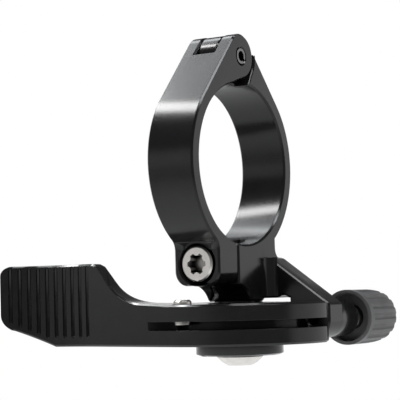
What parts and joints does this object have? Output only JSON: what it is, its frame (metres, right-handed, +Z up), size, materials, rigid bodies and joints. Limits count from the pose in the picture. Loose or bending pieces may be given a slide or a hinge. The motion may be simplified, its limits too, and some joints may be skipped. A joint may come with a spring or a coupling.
{
  "type": "dropper post remote lever",
  "caption": "Under-bar thumb lever that pulls a dropper post cable, on a hinged handlebar clamp with a fluted cable adjuster.",
  "frame": {"origin": "centre of the handlebar clamp's bore", "axes": "+X along the handlebar, towards the cable adjuster's side; +Y forward, away from the rider; +Z up"},
  "size_m": [0.0649, 0.0548, 0.0651],
  "materials": {
    "black_anodised": "black anodised, satin, machined",
    "stainless": "bright stainless steel, lightly brushed",
    "bearing_steel": "ground bearing steel",
    "aluminium": "plain machined",
    "knob_plastic": "dark grey moulded, satin",
    "cage_plastic": "moulded",
    "seal_rubber": "matt"
  },
  "bodies": {
    "bracket": {"base_bracket": "black_anodised", "hinge_pin": "stainless", "pivot_bolt": "stainless", "pivot_spacer": "black_anodised", "bearing_sleeve": "aluminium", "upper_inner_ring": "bearing_steel", "lower_inner_ring": "bearing_steel"},
    "strap": {"clamp_strap": "black_anodised"},
    "bolt": {"clamp_bolt": "stainless"},
    "lever_arm": {"lever": "black_anodised", "upper_outer_ring": "bearing_steel", "lower_outer_ring": "bearing_steel", "upper_seals": "seal_rubber", "lower_seals": "seal_rubber", "cable_anchor_screw": "stainless", "cable_anchor_washer": "stainless"},
    "ball_sets": {"upper_balls": "bearing_steel", "upper_cage": "cage_plastic", "lower_balls": "bearing_steel", "lower_cage": "cage_plastic"},
    "adjuster": {"adjuster_knob": "knob_plastic", "adjuster_stud": "aluminium"}
  },
  "joints": [
    {"name": "strap_hinge", "type": "hinge", "parent": "bracket", "child": "strap", "pos_m": [0, 0, 0.0212], "axis": [-1, 0, 0], "range_deg": [0, 1.8]},
    {"name": "bolt_slide", "type": "slide", "parent": "bracket", "child": "bolt", "axis": [0, -1, 0], "range_m": [0, 0.0015]},
    {"name": "lever_pivot", "type": "hinge", "parent": "bracket", "child": "lever_arm", "pos_m": [0, 0.0048, -0.0316], "axis": [0, 0, 1], "range_deg": [-28, 0]},
    {"name": "ball_turn", "type": "hinge", "parent": "bracket", "child": "ball_sets", "pos_m": [0, 0.0048, -0.0316], "axis": [0, 0, 1], "range_deg": [-17, 0]},
    {"name": "adjuster_turn", "type": "hinge", "parent": "bracket", "child": "adjuster", "pos_m": [0.0148, 0.0261, -0.03085], "axis": [0, 1, 0], "continuous": true}
  ],
  "couplings": [
    {"joint": "bolt_slide", "follows": "strap_hinge", "m_per_rad": 0.046},
    {"joint": "ball_turn", "follows": "lever_pivot", "ratio": 0.588}
  ]
}
